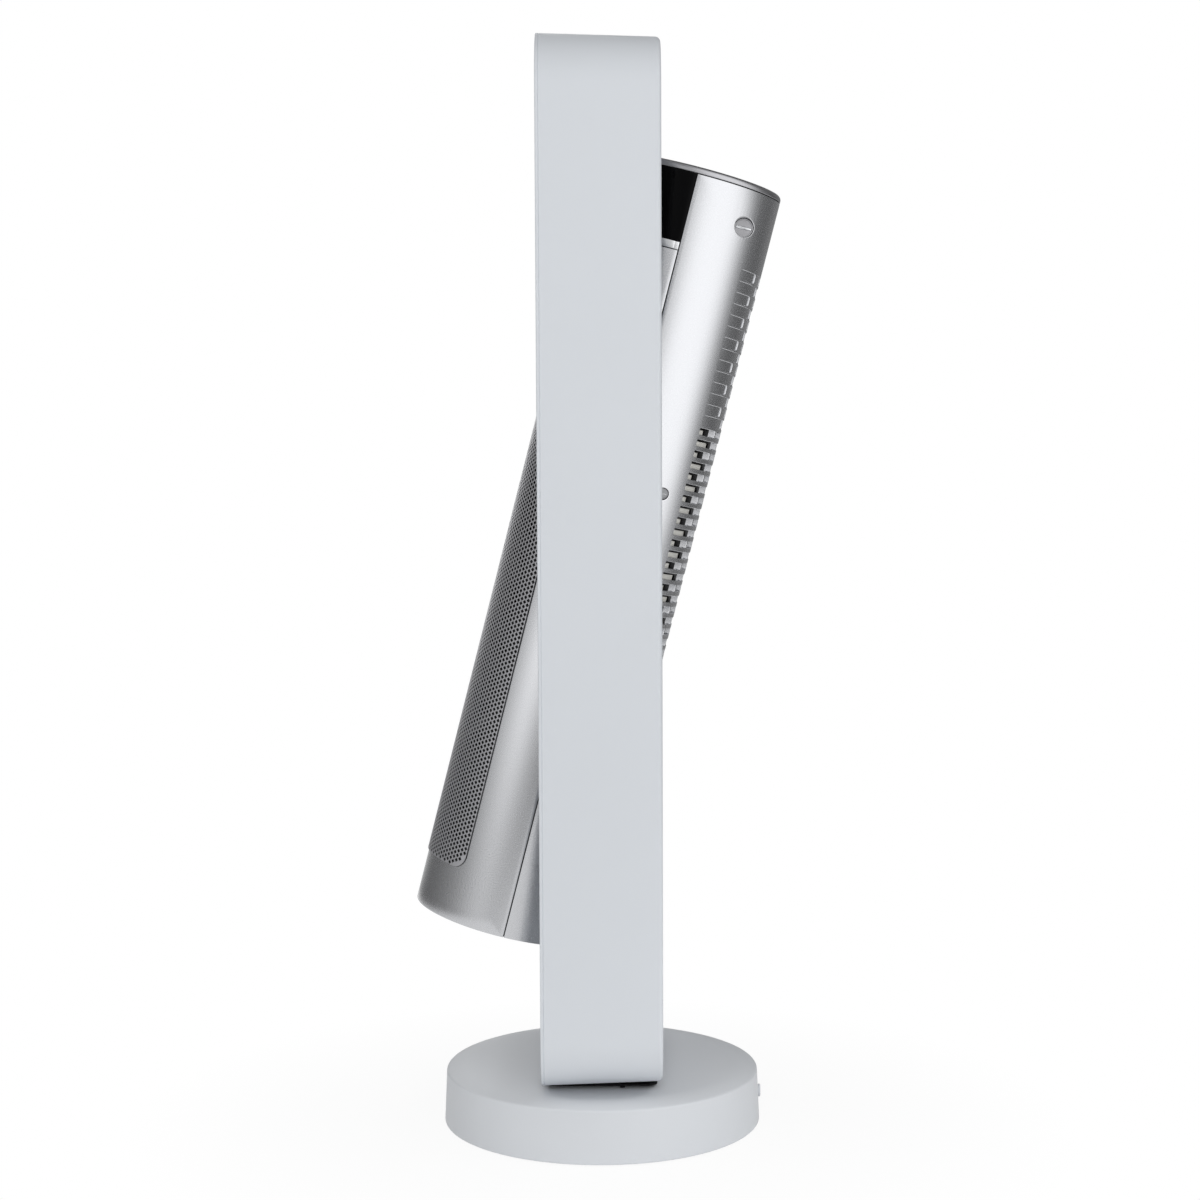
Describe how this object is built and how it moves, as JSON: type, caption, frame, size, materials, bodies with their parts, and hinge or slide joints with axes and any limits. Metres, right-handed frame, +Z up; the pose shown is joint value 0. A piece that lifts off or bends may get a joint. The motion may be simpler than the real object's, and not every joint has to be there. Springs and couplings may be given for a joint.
{
  "type": "tower fan heater",
  "caption": "Tower fan heater: a round tube with a front outlet mesh and rear vents tilts in a tall rounded hoop that swivels on a disc base.",
  "frame": {"origin": "centre of the base disc, on the floor", "axes": "+Z up, the outlet mesh faces -Y, +X along the tilt pivot"},
  "size_m": [0.212, 0.2432, 0.7117],
  "materials": {
    "silver_body": "satin silver paint on moulded plastic",
    "light_trim": "pale satin silver paint",
    "grey_trim": "grey moulded plastic",
    "dark_plastic": "dark heat-resistant moulded plastic",
    "black_plastic": "black moulded plastic",
    "white_nylon": "natural white gear plastic",
    "red_plastic": "red moulded plastic",
    "ceramic": "fired ceramic, as a matte solid",
    "ballast_iron": "rough cast, unpainted",
    "foot_rubber": "black moulded rubber",
    "motor_housing": "plated pressed housing",
    "motor_steel": "laminated steel motor body",
    "screw_steel": "zinc-plated steel",
    "cast_alloy": "die-cast, satin",
    "fin_aluminium": "bare rolled sheet",
    "bearing_bronze": "sintered, oiled",
    "window_black": "gloss black, tinted",
    "mesh_metal": "painted perforated sheet",
    "filter_net": "pale woven nylon net",
    "circuit_board": "green board with fitted parts"
  },
  "bodies": {
    "base": {"base_shell": "silver_body", "base_plate": "dark_plastic", "ballast_ring": "ballast_iron", "rubber_feet": "foot_rubber", "base_screws": "screw_steel", "cable_gland": "silver_body", "osc_motor": "motor_housing", "tip_switch": "dark_plastic", "swivel_bearing": "white_nylon"},
    "pinion": {"osc_pinion": "white_nylon"},
    "tip_pin": {"tip_plunger": "red_plastic"},
    "hoop": {"swivel_neck": "black_plastic", "swivel_gear": "white_nylon", "neck_screws": "screw_steel", "hoop_shell": "silver_body", "hoop_front_cover": "silver_body", "hoop_screws": "screw_steel", "pivot_bushes": "black_plastic", "friction_washers": "grey_trim"},
    "tube": {"pivot_shafts": "cast_alloy", "pivot_clips": "screw_steel", "pivot_screws": "screw_steel", "front_shell": "silver_body", "rear_shell": "silver_body", "top_cap": "silver_body", "bottom_cap": "dark_plastic", "display_window": "window_black", "trim_bar": "light_trim", "outlet_mesh": "mesh_metal", "blower_frame": "dark_plastic", "air_scroll": "dark_plastic", "vortex_tongue": "dark_plastic", "wheel_bearing": "bearing_bronze", "blower_motor": "motor_steel", "heater_frame": "dark_plastic", "heater_elements": "ceramic", "heater_fins": "fin_aluminium", "thermal_cutout": "ceramic", "board_carrier": "dark_plastic", "control_board": "circuit_board", "display_board": "circuit_board", "button_board": "circuit_board", "screw_plugs": "grey_trim", "shell_screws": "screw_steel", "dust_filter": "filter_net"},
    "blower": {"blower_wheel": "fin_aluminium"},
    "power": {"power_button": "light_trim"},
    "heat": {"heat_button": "light_trim"},
    "timer": {"timer_button": "light_trim"},
    "swing": {"swing_button": "light_trim"}
  },
  "joints": [
    {"name": "hoop_swivel", "type": "hinge", "parent": "base", "child": "hoop", "pos_m": [0, 0, 0.0417], "axis": [0, 0, 1], "range_deg": [-35, 35]},
    {"name": "pinion_spin", "type": "hinge", "parent": "base", "child": "pinion", "pos_m": [0.04505, 0, 0.03], "axis": [0, 0, 1], "range_deg": [-180, 180]},
    {"name": "tip_pin_drop", "type": "slide", "parent": "base", "child": "tip_pin", "axis": [0, 0, -1], "range_m": [0, 0.004], "stiffness_N_per_m": 60, "springref_m": 0.006},
    {"name": "tube_tilt", "type": "hinge", "parent": "hoop", "child": "tube", "pos_m": [0, 0, 0.3905], "axis": [-1, 0, 0], "range_deg": [-14.5, 15.5]},
    {"name": "blower_spin", "type": "hinge", "parent": "tube", "child": "blower", "pos_m": [0, -0.00309, 0.36909], "axis": [0, 0.2504, 0.9681], "continuous": true},
    {"name": "power_press", "type": "slide", "parent": "tube", "child": "power", "axis": [0, -0.2504, -0.9681], "range_m": [0, 0.001], "stiffness_N_per_m": 800},
    {"name": "heat_press", "type": "slide", "parent": "tube", "child": "heat", "axis": [0, -0.2504, -0.9681], "range_m": [0, 0.001], "stiffness_N_per_m": 800},
    {"name": "timer_press", "type": "slide", "parent": "tube", "child": "timer", "axis": [0, -0.2504, -0.9681], "range_m": [0, 0.001], "stiffness_N_per_m": 800},
    {"name": "swing_press", "type": "slide", "parent": "tube", "child": "swing", "axis": [0, -0.2504, -0.9681], "range_m": [0, 0.001], "stiffness_N_per_m": 800}
  ],
  "couplings": [
    {"joint": "pinion_spin", "follows": "hoop_swivel", "ratio": -5}
  ]
}
